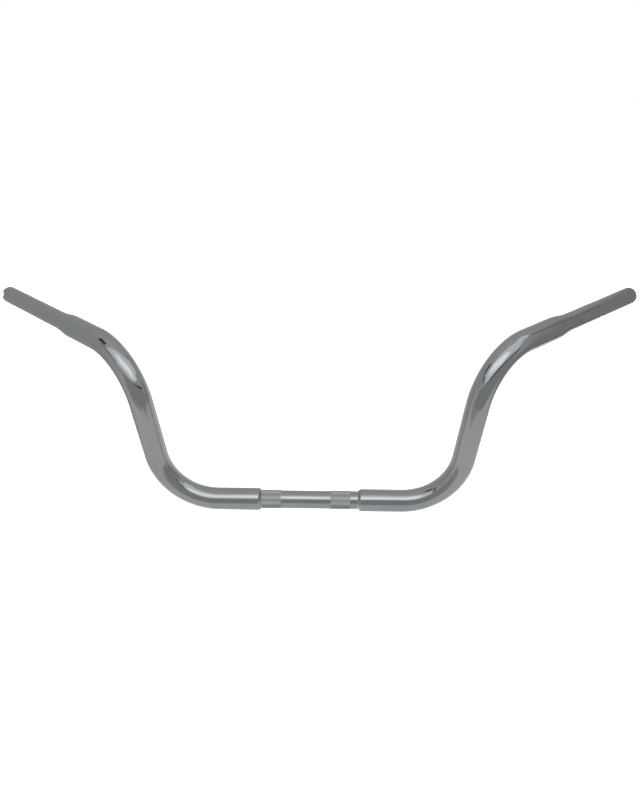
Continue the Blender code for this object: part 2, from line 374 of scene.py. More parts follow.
class Surface:
    """The closed skin of a tube: a closed outline of (distance, radius) swept right round.

    Rows follow the outline and columns the turn.  A row's distance and radius may change round the
    tube, so both are kept as whole grids.
    """

    def __init__(self, path, outline, turns, flats=None):
        self.path = path
        self.flats = flats
        self.turns = turns
        self.outline = outline
        self.rows, self.columns = len(outline), len(turns)
        shape = (self.rows, self.columns)
        self.distance = np.broadcast_to(outline[:, :1], shape).copy()
        self.radius = np.broadcast_to(outline[:, 1:], shape).copy()
        self.turn = np.broadcast_to(turns, shape).copy()
        self.open_faces = np.ones(shape, bool)
        self.extra = []
        self.layers = {}

    def add_seam(self, height, facing):
        """The rolled tube's inner weld seam: a low bell-shaped ridge along one turn of the bore."""
        away = (self.turn - facing + pi) % tau - pi
        ridge = height * np.exp(-(away / SEAM_SPREAD) ** 2)
        in_bore = self.radius < self.outline[:, 1].min() + BORE_CLEARANCE
        self.radius -= np.where(in_bore, ridge, 0.0)

    def outer_row(self, station):
        """The row of the outside that lies nearest a station, and the bore's row."""
        middle = (self.outline[:, 1].min() + self.outline[:, 1].max()) / 2
        away = np.abs(self.outline[:, 0] - station)
        outside = self.outline[:, 1] > middle
        return (int(np.argmin(np.where(outside, away, np.inf))),
                int(np.argmin(np.where(outside, np.inf, away))))

    def border(self, first_row, way, count, left, right):
        """Point numbers round a window: along its first row, up its side, back and down."""
        over = np.arange(left, right)
        up = np.arange(count)
        rows = np.concatenate((np.zeros_like(over), up, np.full_like(over, count), count - up))
        columns = np.concatenate((over, np.full_like(up, right), right + left - over,
                                  np.full_like(up, left)))
        return (first_row + way * rows) * self.columns + columns

    def cut_hole(self, station, facing, width, length, reach, edge):
        """Cuts a round-ended hole straight through the wall, and gives it a rounded lip.

        A window of faces is left out of the outside and of the bore.  A collar of rings fills each:
        from the window's edge in to the hole's lip, over the lip, down the wall and out again.  A
        ring's points lie where rays from the hole's middle meet its outline, moved out by a share.
        """
        outside, inside = self.outer_row(station - reach)
        outside_end, inside_end = self.outer_row(station + reach)
        count = outside_end - outside
        if inside - inside_end != count:
            raise RuntimeError("the bore and the outside need the same rows round a hole")
        inner, outer = self.outline[inside, 1], self.outline[outside, 1]
        spread = asin((width / 2 + edge) / inner) + WINDOW_MARGIN
        left = int(np.searchsorted(self.turns, facing - spread))
        right = int(np.searchsorted(self.turns, facing + spread))
        self.open_faces[outside:outside_end, left:right] = False
        self.open_faces[inside_end:inside, left:right] = False
        rim = self.border(outside, 1, count, left, right)
        bore_rim = self.border(inside, -1, count, left, right)

        turn, distance = self.turn.ravel()[rim], self.distance.ravel()[rim]
        sight_x, sight_y = (turn - facing) * outer, distance - station
        size = np.hypot(sight_x, sight_y)
        sight_x, sight_y = sight_x / size, sight_y / size
        half, straight = width / 2, (length - width) / 2
        side_reach = half / np.maximum(np.abs(sight_x), 1e-9)
        root = np.sqrt(np.maximum((straight * sight_y) ** 2 - straight ** 2 + half ** 2, 0.0))
        end_reach = straight * np.abs(sight_y) + root
        on_side = np.abs(side_reach * sight_y) <= straight
        hole_x = np.where(on_side, side_reach, end_reach) * sight_x
        hole_y = np.where(on_side, side_reach, end_reach) * sight_y
        normal_x = hole_x / half
        normal_y = np.where(on_side, 0.0, (hole_y - np.sign(hole_y) * straight) / half)

        round_edge = np.linspace(0.0, pi / 2, 5)
        rings = [(edge * (1 - sin(part)), outer - edge * (1 - cos(part))) for part in round_edge]
        rings += [(0.0, outer - edge + part * (inner - outer + 2 * edge)) for part in (0.33, 0.67)]
        rings += [(edge * (1 - cos(part)), inner + edge * (1 - sin(part))) for part in round_edge]
        wall = [(facing + np.arcsin((hole_x + normal_x * out) / radius),
                 station + hole_y + normal_y * out,
                 np.full_like(hole_x, radius)) for out, radius in rings]

        def spread_out(lip, radius, shares):
            return [(lip[0] + share * (turn - lip[0]), lip[1] + share * (distance - lip[1]),
                     np.full_like(turn, radius)) for share in shares]

        shares = (0.25, 0.5, 0.75)
        collar = [*spread_out(wall[0], outer, shares[::-1]), *wall, *spread_out(wall[-1], inner, shares)]
        self.extra.append((*(np.array(values) for values in zip(*collar)), rim, bore_rim))

    def make(self, name, material):
        """Puts the points, faces and unrolled map into a mesh, with every face pointing outwards."""
        grids = [(self.distance, self.turn, self.radius)]
        row, column = np.nonzero(self.open_faces)
        after, beside = (row + 1) % self.rows, (column + 1) % self.columns
        faces = [np.stack((row * self.columns + column, after * self.columns + column,
                           after * self.columns + beside, row * self.columns + beside), axis=1)]
        wraps = [np.stack((column < 0, column < 0, beside == 0, beside == 0), axis=1)]
        used = self.distance.size
        for turns, distances, radii, rim, bore_rim in self.extra:
            grids.append((distances, turns, radii))
            fresh = used + np.arange(turns.size).reshape(turns.shape)
            table = np.concatenate((rim[None], fresh, bore_rim[None]))
            near, far = table[:-1], table[1:]
            quads = np.stack((near, far, np.roll(far, -1, axis=1), np.roll(near, -1, axis=1)), axis=2)
            faces.append(quads.reshape(-1, 4))
            wraps.append(np.zeros((quads.size // 4, 4), bool))
            used += turns.size
        distance, turn, radius = (np.concatenate([grid[number].ravel() for grid in grids])
                                  for number in range(3))
        flats = self.flats(distance) if self.flats else ()
        points = tube_points(self.path, distance, turn, radius, flats)
        faces, wraps = np.concatenate(faces), np.concatenate(wraps)
        girth = self.outline[:, 1].max()
        unrolled = np.stack(((turn[faces] + wraps * tau) * girth, distance[faces]), axis=2)
        one, two, three, four = (points[faces[:, corner]] for corner in range(4))
        volume = np.einsum("ij,ij->", one + two + three + four, np.cross(three - one, four - two))
        if volume < 0:
            faces, unrolled = faces[:, ::-1], unrolled[:, ::-1]
        used_points, faces = np.unique(faces, return_inverse=True)
        layers = {key: values(distance, turn, radius)[used_points] for key, values in self.layers.items()}
        return add_mesh(name, points[used_points], faces.reshape(-1, 4), unrolled, layers, material)


def put(name, data):
    """A new object in the scene, holding this data."""
    thing = bpy.data.objects.new(name, data)
    bpy.context.scene.collection.objects.link(thing)
    return thing


def add_mesh(name, points, faces, unrolled, layers, material):
    """A mesh object from arrays of points and four-cornered faces."""
    mesh = bpy.data.meshes.new(name)
    mesh.vertices.add(len(points))
    mesh.vertices.foreach_set("co", points.astype(np.float32).ravel())
    mesh.loops.add(faces.size)
    mesh.loops.foreach_set("vertex_index", faces.astype(np.int32).ravel())
    mesh.polygons.add(len(faces))
    mesh.polygons.foreach_set("loop_start", np.arange(0, faces.size, 4, dtype=np.int32))
    mesh.update(calc_edges=True)
    if mesh.validate():
        raise RuntimeError(f"{name} has faulty faces")
    unrolled_map = mesh.uv_layers.new(name=UNROLLED)
    unrolled_map.data.foreach_set("uv", unrolled.astype(np.float32).ravel())
    for key, values in layers.items():
        layer = mesh.attributes.new(key, "FLOAT", "POINT")
        layer.data.foreach_set("value", values.astype(np.float32))
    mesh.materials.append(material)
    mesh.shade_smooth()
    mesh.set_sharp_from_angle(angle=SHARP_CORNER)
    return put(name, mesh)


def take_place(piece, slot, *nodes):
    """The piece rides with the bar and stands for its CAD nodes; the slot is not used."""
    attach(piece, BODY)
    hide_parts(*nodes)


def bore_share(mouths, bore_radius):
    """A layer that is 0 on the plated outside and 1 deep in the bore.

    Plating reaches a little way in at each open mouth, so the share climbs with the distance from
    the nearest mouth.
    """
    def values(distance, turn, radius):
        depth = np.min([np.abs(distance - mouth) for mouth in mouths], axis=0)
        return np.where(radius < bore_radius + BORE_REACH, ease(PLATED_DEPTH, BARE_DEPTH, depth), 0.0)
    return values


# ---- node maths

def math_method(operation, swapped=False):
    """A method of Signal that adds one Math node."""
    def method(self, other):
        values = (other, self) if swapped else (self, other)
        return self.board.reckon(operation, *values)
    return method


class Signal:
    """A node's output.  Sums, products and the like on numbers add the Math nodes they need."""

    def __init__(self, board, socket):
        self.board = board
        self.socket = socket

    def __abs__(self):
        return self.board.reckon("ABSOLUTE", self)

    __add__ = __radd__ = math_method("ADD")
    __mul__ = __rmul__ = math_method("MULTIPLY")
    __sub__ = math_method("SUBTRACT")
    __rsub__ = math_method("SUBTRACT", swapped=True)
    __truediv__ = math_method("DIVIDE")
    __rtruediv__ = math_method("DIVIDE", swapped=True)


class Board:
    """The node tree of a material or the world, cleared and ready for its own nodes."""

    def __init__(self, owner):
        owner.use_nodes = True
        self.tree = owner.node_tree
        self.tree.nodes.clear()

    def add(self, kind, settings=None, sockets=None, output=0):
        """Adds a node, makes its settings, fills or links its sockets, and returns one output."""
        node = self.tree.nodes.new(kind)
        for key, value in (settings or {}).items():
            if key == "stops":
                self.set_stops(node.color_ramp, value)
            else:
                setattr(node, key, value)
        for key, value in (sockets or {}).items():
            if isinstance(value, Signal):
                self.tree.links.new(value.socket, node.inputs[key])
            else:
                node.inputs[key].default_value = value
        return Signal(self, node.outputs[output]) if node.outputs else None

    @staticmethod
    def set_stops(ramp, stops):
        """Gives a colour ramp its grey stops: pairs of place and brightness."""
        while len(ramp.elements) < len(stops):
            ramp.elements.new(1.0)
        for element, (place, grey) in zip(ramp.elements, stops):
            element.position = place
            element.color = (grey, grey, grey, 1.0)

    def reckon(self, operation, *values):
        return self.add("ShaderNodeMath", {"operation": operation}, dict(enumerate(values)))

    def blend(self, share, first, second):
        """A colour between two."""
        return self.add("ShaderNodeMix", {"data_type": "RGBA"}, {0: share, 6: first, 7: second}, 2)

    def fade(self, value, low, high, at_low=0.0, at_high=1.0):
        """A smooth change from one level to another."""
        settings = {"interpolation_type": "SMOOTHSTEP"}
        return self.add("ShaderNodeMapRange", settings, {0: value, 1: low, 2: high, 3: at_low, 4: at_high})

    def noise(self, place, scale, detail=2.0, roughness=0.5):
        sockets = {"Vector": place, "Scale": scale, "Detail": detail, "Roughness": roughness}
        return self.add("ShaderNodeTexNoise", None, sockets)

    def layer(self, name):
        return self.add("ShaderNodeAttribute", {"attribute_name": name}, None, 2)

    def dot(self, vector, direction):
        return self.add("ShaderNodeVectorMath", {"operation": "DOT_PRODUCT"},
                        {0: vector, 1: direction}, 1)


def solid(colour):
    return (*colour, 1.0)


# ---- finishes

DRIFT_SCALE = 26.0                # patterns, in waves to the metre
SPECK_SCALE = 420.0
STAIN_SCALE = 95.0
BUFFING_SCALE = (70.0, 3200.0, 1.0)
DRIFT_HEIGHT = 0.000012           # relief, in metres
BUFFING_HEIGHT = 0.0000006
KNURL_GRAIN = 0.00001
WELD_GRAIN = 0.00002
BORE_GRAIN = 0.00006
HAZE_RANGE = (0.35, 0.75)         # stretch of each pattern over which it sets in
SPECK_RANGE = (0.45, 0.80)
BUFFING_RANGE = (0.40, 0.75)
# the crests' wear, smoother chrome, and their painted highlight set in over this range of knurl height
WEAR_AND_HIGHLIGHT_RANGE = (0.25, 0.98)
# painted shade in the knurl's grooves fades out over this range of knurl height
GROOVE_SHADE_RANGE = (0.02, 0.40)
BARE_RANGE = (0.30, 0.62)
STAIN_RANGE = (0.48, 0.72)
HAZE_GLOSS, SPECK_GLOSS, BUFFING_GLOSS = 0.030, 0.030, 0.020    # what each adds to the roughness
BAND_GLOSS, WORN_GLOSS, BARE_GLOSS, STAIN_GLOSS = 0.22, -0.08, 0.42, 0.20
# painted shade in the knurl's grooves and painted highlight on its crests, as times the chrome's own
# colour
GROOVE_SHADE_FACTOR, CREST_HIGHLIGHT_FACTOR = 0.75, 1.32                            # times the chrome's own colour


def plating(name, colours, haze=0.0, knurled=False, rippled=False):
    """Chrome plate over polished steel.

    Its tint and gloss drift a little over centimetres, fine buffing lines run round the tube, and
    the surface has the faint long ripple of plated tube.  Inside a bore it gives way to dull steel.
    """
    material = bpy.data.materials.new(name)
    board = Board(material)
    place = board.add("ShaderNodeTexCoord", None, None, 3)
    unrolled = board.add("ShaderNodeUVMap", {"uv_map": UNROLLED})
    drift = board.noise(place, DRIFT_SCALE, 3.0)
    speck = board.noise(place, SPECK_SCALE, 3.0, 0.6)
    stretched = board.add("ShaderNodeMapping", None, {"Vector": unrolled, "Scale": BUFFING_SCALE})
    buffing = board.noise(stretched, 1.0, 3.0, 0.65)

    hazed = board.fade(drift, *HAZE_RANGE)
    tint = board.blend(hazed, solid(colours.chrome), solid(colours.chrome_haze))
    gloss = colours.gloss + haze + HAZE_GLOSS * hazed + SPECK_GLOSS * board.fade(speck, *SPECK_RANGE)
    gloss = gloss + BUFFING_GLOSS * board.fade(buffing, *BUFFING_RANGE)
    relief = drift * DRIFT_HEIGHT + buffing * BUFFING_HEIGHT
    if knurled:
        crest = board.layer(KNURL_LAYER)
        # the crests' wear makes the chrome smoother there, and a painted highlight raises its colour above
        # the chrome's own
        wear_and_highlight = board.fade(crest, *WEAR_AND_HIGHLIGHT_RANGE)
        band = board.fade(crest, 0.0, 0.01)
        # painted shade: the chrome's colour is darkened towards the floor of the knurl's grooves
        painted_groove_shade = board.fade(crest, *GROOVE_SHADE_RANGE, 0.30, 0.0) * band
        tint = board.blend(painted_groove_shade, tint, solid([value * GROOVE_SHADE_FACTOR for value in colours.chrome]))
        tint = board.blend(wear_and_highlight, tint, solid([value * CREST_HIGHLIGHT_FACTOR for value in colours.chrome]))
        gloss = gloss + BAND_GLOSS * band + WORN_GLOSS * wear_and_highlight
        relief = relief + speck * band * KNURL_GRAIN
    if rippled:
        relief = relief + speck * WELD_GRAIN

    inside = board.layer(BORE_LAYER)
    ragged = board.fade(inside + 0.5 * (speck - 0.5) + 0.7 * (drift - 0.5), *BARE_RANGE)
    stain = board.fade(board.noise(place, STAIN_SCALE, 4.0, 0.62), *STAIN_RANGE)
    bare = board.blend(stain, solid(colours.steel), solid(colours.rust))
    tint = board.blend(ragged, tint, bare)
    gloss = gloss + ragged * (BARE_GLOSS + STAIN_GLOSS * stain)
    metal = 1.0 - 0.55 * (ragged * stain)
    relief = relief + ragged * speck * BORE_GRAIN

    bump = board.add("ShaderNodeBump", None, {"Strength": 1.0, "Distance": 1.0, "Height": relief})
    shader = board.add("ShaderNodeBsdfPrincipled", None, {
        "Base Color": tint, "Metallic": metal, "Roughness": gloss, "Normal": bump})
    board.add("ShaderNodeOutputMaterial", None, {"Surface": shader})
    return material


# ---- pieces

RING_STEP = 0.0025                # along the bends
LONG_STEP = 0.0060                # along the straight grips and the bores
BAND_EDGE = 0.0002                # the plain ring kept right beside each knurled band
TURNS = 128
CLAMP_SEAM_TURN = radians(115.0)
GRIP_SEAM_TURN = radians(140.0)
BORE_THINNING = 6                 # the clamp tube's bore keeps one row in so many
COLUMNS_TO_GROOVE = 6             # faces round one knurl groove, and along one diamond
BELOW_PLAIN = 0.00004             # the knurl's grooves go this far below the plain tube
CREST_WEAR = 0.8                  # share of a diamond's height left by the worn tops
HOLE_MARGIN = 0.0045              # left along the tube beside a hole, for the same rings
SLOT_MARGIN = 0.0050
BESIDE_SLOT = 0.0020              # the bore's rows stay close together this far past the slot
HOLE_ROWS = 12
GROOVE_SHARE = 0.02               # height of a groove's floor, which marks it as knurled
SLEEVE_END_ROUND = 0.0004
SHOULDER_ROUNDS = [0.0001, 0.0005, 0.0009]         # of the side tube's corners, in order
NECK_END_ROUNDS = [0.0002, 0.0001]
LOWER_FLATS = (0.0, 0.15, 1.0, 0.30, 0.0, 0.0)     # shares of each bend's flattening, in order
UPPER_FLATS = (0.0, 0.5, 0.8, 1.25, 0.0)
NECK_ROWS = 26
NECK_BIAS = 0.8
NOTCHED_LENGTH = 0.012            # the rim's notches draw back the rows over this length
RIM_ROW = 0.0015
NOTCH_CLEARANCE = radians(1.2)
NOTCH_MARKS = 0.002 * np.array((-0.45, -0.30, -0.16, -0.06, -0.01, 0.01, 0.06, 0.16, 0.30))


def even_turns(count, start=0.0):
    return start + np.arange(count) * tau / count


def clamp_tube(sizes, details, material):
    """The straight tube in the middle.

    Its outline is a plain tube wall.  On the two bands the radius follows the knurl: two sets of
    V grooves wind round, one each way, each a triangle wave of the turn plus or minus the distance.
    The lower of the two is the height of the diamond there, and its top is worn flat.
    """
    path = BentPath(sizes)
    reach, outer, inner = sizes.clamp_reach, sizes.sleeve_diameter / 2, sizes.sleeve_bore / 2
    columns = details.knurl_round * COLUMNS_TO_GROOVE
    band_rows = details.knurl_along * COLUMNS_TO_GROOVE
    starts = [centre - details.knurl_width / 2
              for centre in (details.throttle_knurl, details.clutch_knurl)]
    stations = [spaced(-reach, starts[0], RING_STEP)]
    for start, until in zip(starts, (starts[1], reach)):
        end = start + details.knurl_width
        stations.append(np.linspace(start, end, band_rows + 1))
        stations.append(np.array((start - BAND_EDGE, end + BAND_EDGE)))
        stations.append(spaced(end, until, RING_STEP))
    stations = in_order(np.concatenate(stations))
    slot_middle = (details.throttle_knurl + details.clutch_knurl) / 2
    slot_reach = details.slot_length / 2 + SLOT_MARGIN

    corners = np.array(((-reach, inner), (-reach, outer), (reach, outer), (reach, inner)))
    outline = rounded(corners, [details.edge_round] * 4)
    outside = divided(outline, stations)
    bore_side = np.abs(stations - slot_middle) < slot_reach + BESIDE_SLOT
    coarse = np.concatenate((stations[bore_side], stations[~bore_side][::BORE_THINNING]))
    bored = divided(outline, in_order(coarse))
    middle = (outer + inner) / 2
    below = path.turn_of(0.0, np.array((0.0, 0.0, -1.0)))
    turns = even_turns(columns, below - pi)
    surface = Surface(path, joined(outside, bored, middle), turns)

    half = details.knurl_diameter / 2
    floor = outer - BELOW_PLAIN

    def height(distance, turn, radius):
        total = np.zeros_like(distance)
        winding = (turn - below) * details.knurl_round / tau
        for start in starts:
            covered = distance - start
            along = covered * details.knurl_along / details.knurl_width
            diamond = np.minimum(saw_peak(winding + along), saw_peak(winding - along))
            diamond = np.minimum(diamond / CREST_WEAR, 1.0)
            ends = ease(0.0, details.knurl_ramp, covered)
            ends = ends * ease(0.0, details.knurl_ramp, details.knurl_width - covered)
            total = total + ends * (GROOVE_SHARE + (1.0 - GROOVE_SHARE) * diamond)
        return np.where(radius > middle, total, 0.0)

    raised = height(surface.distance, surface.turn, surface.radius)
    knurled = raised > 0.0
    surface.radius[knurled] = floor + (half - floor) * raised[knurled]
    surface.add_seam(details.seam_height, below + CLAMP_SEAM_TURN)
    surface.cut_hole(slot_middle, below, details.slot_width, details.slot_length, slot_reach,
                     details.edge_round)
    surface.layers[KNURL_LAYER] = height
    surface.layers[BORE_LAYER] = bore_share((-reach, reach), inner)
    take_place(surface.make("knurled_clamp_tube", material), "clamp_chrome", "clamp_tube")


def bend_flats(path, sizes, details):
    """How much the bends flatten the side tube, at each distance along the bar.

    The lower bend flattens most, a little before its middle, and the riser keeps some of it.
    """
    lower_start, lower_end = path.lower_bend
    upper_start, upper_end = path.upper_bend
    lower_turn, upper_turn = path.bend_turn(path.lower_bend), path.bend_turn(path.upper_bend)
    lower_span = lower_end - lower_start
    upper_span = upper_end - upper_start
    lower_stations = (sizes.shoulder + 0.015, lower_start, lower_start + 0.4 * lower_span,
                      lower_end, upper_start, upper_start + 0.4 * upper_span)
    lower_heights = [share * details.lower_flat for share in LOWER_FLATS]
    upper_stations = (lower_end, upper_start, upper_start + 0.5 * upper_span,
                      upper_end, upper_end + 0.9 * sizes.upper_straight)
    upper_heights = [share * details.upper_flat for share in UPPER_FLATS]

    def flats(distance):
        return ((lower_turn, ease_through(lower_stations, lower_heights, distance)),
                (upper_turn, ease_through(upper_stations, upper_heights, distance)))
    return flats


def side_tube(sizes, details, word, material):
    """One bent side tube.

    Its outline climbs the chamfered shoulder, runs along the outside, and falls over the neck by
    r = big - (big - small) ease(t^0.8), where t is the share of the neck covered.  It comes back
    along the bore.
    """
    path = BentPath(sizes, WAY_OUT[word])
    outer, inner = sizes.side_diameter / 2, sizes.side_bore / 2
    start, chamfer = sizes.shoulder, details.shoulder_chamfer
    end = path.length - sizes.grip_length
    neck_start = end - sizes.neck_length
    small = details.neck_end_diameter / 2
    covered = np.linspace(0.0, 1.0, NECK_ROWS)
    small_share = 1.0 - ease(0.0, 1.0, (1.0 - covered) ** NECK_BIAS)
    neck = np.stack((neck_start + covered * sizes.neck_length,
                     outer + (small - outer) * small_share), axis=1)
    shoulder = np.array(((start, inner), (start, outer - chamfer), (start + chamfer, outer)))
    corners = np.concatenate((shoulder, neck, np.array(((end, inner),))))
    outline = rounded(corners, SHOULDER_ROUNDS + [0.0] * (NECK_ROWS - 1) + NECK_END_ROUNDS)
    middle = inner + 0.0003
    outside = divided(outline, spaced(start, neck_start, RING_STEP))
    bored = divided(outline, spaced(start, end, LONG_STEP))
    surface = Surface(path, joined(outside, bored, middle), even_turns(TURNS),
                      bend_flats(path, sizes, details))
    surface.layers[BORE_LAYER] = bore_share((start, end), inner)
    take_place(surface.make(f"{word}_bent_tube", material), "riser_chrome", f"{word}_riser_tube")


def notched_turns(facings, details, outer):
    """Turns round the tube, closer together at the notches' walls and corners."""
    wall = details.notch_width / 2
    marks = NOTCH_MARKS + wall
    marks = np.arcsin(np.concatenate((-marks[::-1], marks)) / outer)
    special = np.concatenate([facing + marks for facing in facings])
    base = even_turns(TURNS, facings[0] - pi / 2)
    special = (special - base[0]) % tau + base[0]
    away = np.abs((base[:, None] - special[None] + pi) % tau - pi).min(axis=1)
    return np.sort(np.concatenate((base[away > NOTCH_CLEARANCE], special)))


def notch_depth(turn, facings, details, outer):
    """How far the rim is cut back at each turn.

    The notch has a flat floor, a wall at half its width and a small radius at foot and edge.
    """
    foot, lip = 0.0009, 0.0004
    wall = details.notch_width / 2
    total = np.zeros_like(turn)
    for facing in facings:
        away = (turn - facing + pi) % tau - pi
        across = outer * np.abs(np.sin(away))
        toe = np.clip(across - (wall - foot), 0.0, foot)
        floor = details.notch_depth - foot + np.sqrt(foot ** 2 - toe ** 2)
        edge = np.clip(wall + lip - across, 0.0, lip)
        brow = lip - np.sqrt(lip ** 2 - edge ** 2)
        cut = np.where(across < wall, floor, brow)
        total = np.maximum(total, np.where(np.abs(away) < pi / 2, cut, 0.0))
    return total


def grip_tube(sizes, details, word, material):
    """One straight grip, from inside the side tube to the open end of the bar.

    Near the end of the throttle side each row is drawn back by the notch's depth at its turn,
    fully at the rim and less further in.
    """
    path = BentPath(sizes, WAY_OUT[word])
    outer, inner = sizes.sleeve_diameter / 2, sizes.sleeve_bore / 2
    end = path.length
    start = end - sizes.grip_length - sizes.neck_length - (sizes.clamp_reach - sizes.shoulder)
    hole = end - details.hole_from_end
    reach = details.hole_length / 2 + HOLE_MARGIN
    corners = np.array(((start, inner), (start, outer), (end, outer), (end, inner)))
    outline = rounded(corners, [SLEEVE_END_ROUND, SLEEVE_END_ROUND, details.end_round, details.edge_round])
    beside_hole = np.linspace(hole - reach, hole + reach, HOLE_ROWS)
    last = end - NOTCHED_LENGTH
    stations = np.concatenate((
        spaced(start, hole - reach, LONG_STEP)[:-1], beside_hole,
        spaced(hole + reach, last, LONG_STEP)[1:], spaced(last, end, RIM_ROW)[1:-1]))
    outline = divided(outline, in_order(stations))
    facings = [path.front_turn(details.notch_turn + number * pi) for number in range(2)]
    if word == THROTTLE:
        turns = notched_turns(facings, details, outer)
        hole_turn = 0.0
    else:
        hole_turn = path.front_turn(details.hole_turn)
        turns = even_turns(TURNS, hole_turn - pi)
    surface = Surface(path, outline, turns)
    if word == THROTTLE:
        share = np.clip((surface.distance - last) / (end - RIM_ROW - last), 0.0, 1.0)
        surface.distance -= share * notch_depth(surface.turn, facings, details, outer)
    surface.add_seam(details.seam_height, facings[0] + GRIP_SEAM_TURN)
    if word == CLUTCH:
        surface.cut_hole(hole, hole_turn, details.hole_width, details.hole_length, reach,
                         details.edge_round)
    surface.layers[BORE_LAYER] = bore_share((start, end), inner)
    take_place(surface.make(f"{word}_grip", material), "grip_chrome", f"{word}_grip_tube")


WELD_ROWS = 14
COLUMNS_TO_RIPPLE = 8
WELD_SINK = 0.00005               # how far a weld's underside lies inside the joint
WELD_SPREAD = 1.15                # how much wider than its leg a weld's face runs out
SHOULDER_RIPPLES = (0.00007, 38)  # height of the ripples, and how many go round
NECK_RIPPLES = (0.00002, 44)
WELD_NODES = {"shoulder": "shoulder", "neck": "cone"}


def weld_ring(sizes, details, word, kind, material):
    """A weld bead round a joint.

    Its face falls from the thick side's height to the inner tube by (1 - t)^1.15 (1 + t/4), where t
    is the share of the bead covered.  It carries the weld's ripples: low crescents, one behind
    another, at a cosine of the turn and of the square of the place across the bead.
    """
    path = BentPath(sizes, WAY_OUT[word])
    inner = sizes.sleeve_diameter / 2
    if kind == "shoulder":
        foot, reach = sizes.shoulder - details.gap * 0.2, -details.shoulder_bead * WELD_SPREAD
        height = sizes.side_diameter / 2 - details.shoulder_chamfer - inner + details.gap
        ripple, count = SHOULDER_RIPPLES
    else:
        foot, reach = path.length - sizes.grip_length, details.neck_bead * WELD_SPREAD
        height = details.neck_end_diameter / 2 - inner
        ripple, count = NECK_RIPPLES
    share = np.linspace(0.0, 1.0, WELD_ROWS)
    face_radius = inner + height * (1.0 - share) ** 1.15 * (1.0 + 0.25 * share)
    under = np.linspace(1.0, 0.0, 4)[1:]
    outline = np.concatenate((
        np.stack((foot + reach * share, face_radius), axis=1),
        np.stack((foot + reach * under, np.full(3, inner - WELD_SINK)), axis=1)))
    surface = Surface(path, outline, even_turns(count * COLUMNS_TO_RIPPLE))
    crescents = np.cos(surface.turn[:WELD_ROWS] * count + 5.0 * (share[:, None] - 0.4) ** 2)
    surface.radius[:WELD_ROWS] += ripple * crescents * np.sin(pi * share)[:, None]
    surface.layers[BORE_LAYER] = lambda distance, turn, radius: np.zeros_like(distance)
    node = f"{word}_{WELD_NODES[kind]}_bead"
    take_place(surface.make(f"{word}_{kind}_weld", material), "bead_chrome", node)


# ---- stage

BAR_MIDDLE = Vector((0.0, 0.03, 0.12))
BESIDE_GRIP = Vector((0.550, 0.271, 0.239))

# A sheet of light or dark: the way to its middle and its lean in degrees, its distance and half
# sizes in metres, the share of its half size that is soft edge, its brightness, and the place that
# it hangs round.
Card = namedtuple("Card", "bearing height away roll half_width half_height softness level around",
                  defaults=(BAR_MIDDLE,))

STUDIO_CARDS = {
    "main_softbox": Card(166.7, 54.2, 3.70, -10.7, 3.77, 2.04, 0.12, 0.67),
    "left_rim": Card(-135.3, 28.9, 5.42, -69.2, 0.16, 2.84, 0.40, 0.04),
    "wall_top": Card(150.0, 24.5, 0.64, 0.0, 0.60, 0.030, 0.35, 0.05),
    "left_wall": Card(-75.0, 0.0, 0.90, 0.0, 0.50, 0.45, 0.80, 0.325),
    "upper_strip": Card(144.0, 61.1, 0.10, -5.2, 0.27, 0.0045, 0.50, 0.07, BESIDE_GRIP),
    "lower_strip": Card(135.7, -56.6, 0.10, -4.5, 0.27, 0.0100, 0.50, 0.10, BESIDE_GRIP),
    "hot_middle_of_softbox": Card(167.8, 51.8, 1.69, 12.9, 0.85, 0.42, 0.60, 1.12),
    "side_softbox": Card(97.0, 51.4, 1.32, -2.0, 0.44, 0.25, 0.15, 0.70),
    "softbox_frame": Card(148.0, 27.9, 1.09, -17.5, 0.62, 0.016, 0.30, 0.16),
    "left_reflector": Card(-164.0, 20.9, 1.21, 5.7, 0.69, 0.127, 0.10, 0.40),
    "dark_wall": Card(163.2, 3.3, 0.60, 1.6, 0.98, 0.234, 0.12, 0.265),
    "left_flag": Card(-97.5, 49.5, 1.82, -20.0, 0.21, 0.28, 0.25, 0.05),
    "lamp_tube": Card(182.0, 20.3, 1.15, 0.7, 0.015, 0.39, 0.20, 0.83),
    "far_bounce_card": Card(18.4, -34.9, 1.94, -54.3, 2.70, 1.20, 0.45, 0.60),
    "left_bounce_card": Card(-62.4, -53.4, 1.07, -2.5, 0.33, 0.41, 0.45, 0.88),
    "right_flag": Card(80.5, 4.5, 0.58, 132.8, 0.25, 0.147, 0.45, 0.245),
    "table_edge": Card(-157.0, -11.4, 1.51, 1.6, 0.93, 0.267, 0.05, 0.31),
}
LAMP_SPREAD = radians(120.0)
FLOOR_GRAIN_SCALE = 30.0
LAMP_TINT = (0.98, 1.0, 1.02)
ROOM_LEVELS = ((0.0, 0.475), (0.389, 0.475), (0.611, 0.342), (1.0, 0.423))


def card_directions(card):
    """The way from the bar to a card's middle, and the card's two ways across.

    Bearings go round from straight behind the bar, +Y, towards +X.
    """
    bearing, height, roll = radians(card.bearing), radians(card.height), radians(card.roll)
    middle = Vector((sin(bearing) * cos(height), cos(bearing) * cos(height), sin(height)))
    level = Vector((cos(bearing), -sin(bearing), 0.0))
    upright = level.cross(middle)
    return (middle, cos(roll) * level + sin(roll) * upright, cos(roll) * upright - sin(roll) * level)


def card_paint(name, card):
    """An even glow inside the card's outline, clear outside it, and a soft change between them."""
    material = bpy.data.materials.new(name)
    board = Board(material)
    place = board.add("ShaderNodeUVMap", {"uv_map": UNROLLED})
    soft = card.softness * min(card.half_width, card.half_height)
    cover = 1.0
    for direction, half in (((1.0, 0.0, 0.0), card.half_width), ((0.0, 1.0, 0.0), card.half_height)):
        cover = board.fade(abs(board.dot(place, direction)), half - soft, half + soft, 1.0, 0.0) * cover
    glow = board.add("ShaderNodeEmission", None, {
        "Color": solid([card.level * share for share in LAMP_TINT]), "Strength": 1.0})
    clear = board.add("ShaderNodeBsdfTransparent")
    both = board.add("ShaderNodeMixShader", None, {0: cover, 1: clear, 2: glow})
    board.add("ShaderNodeOutputMaterial", None, {"Surface": both})
    return material


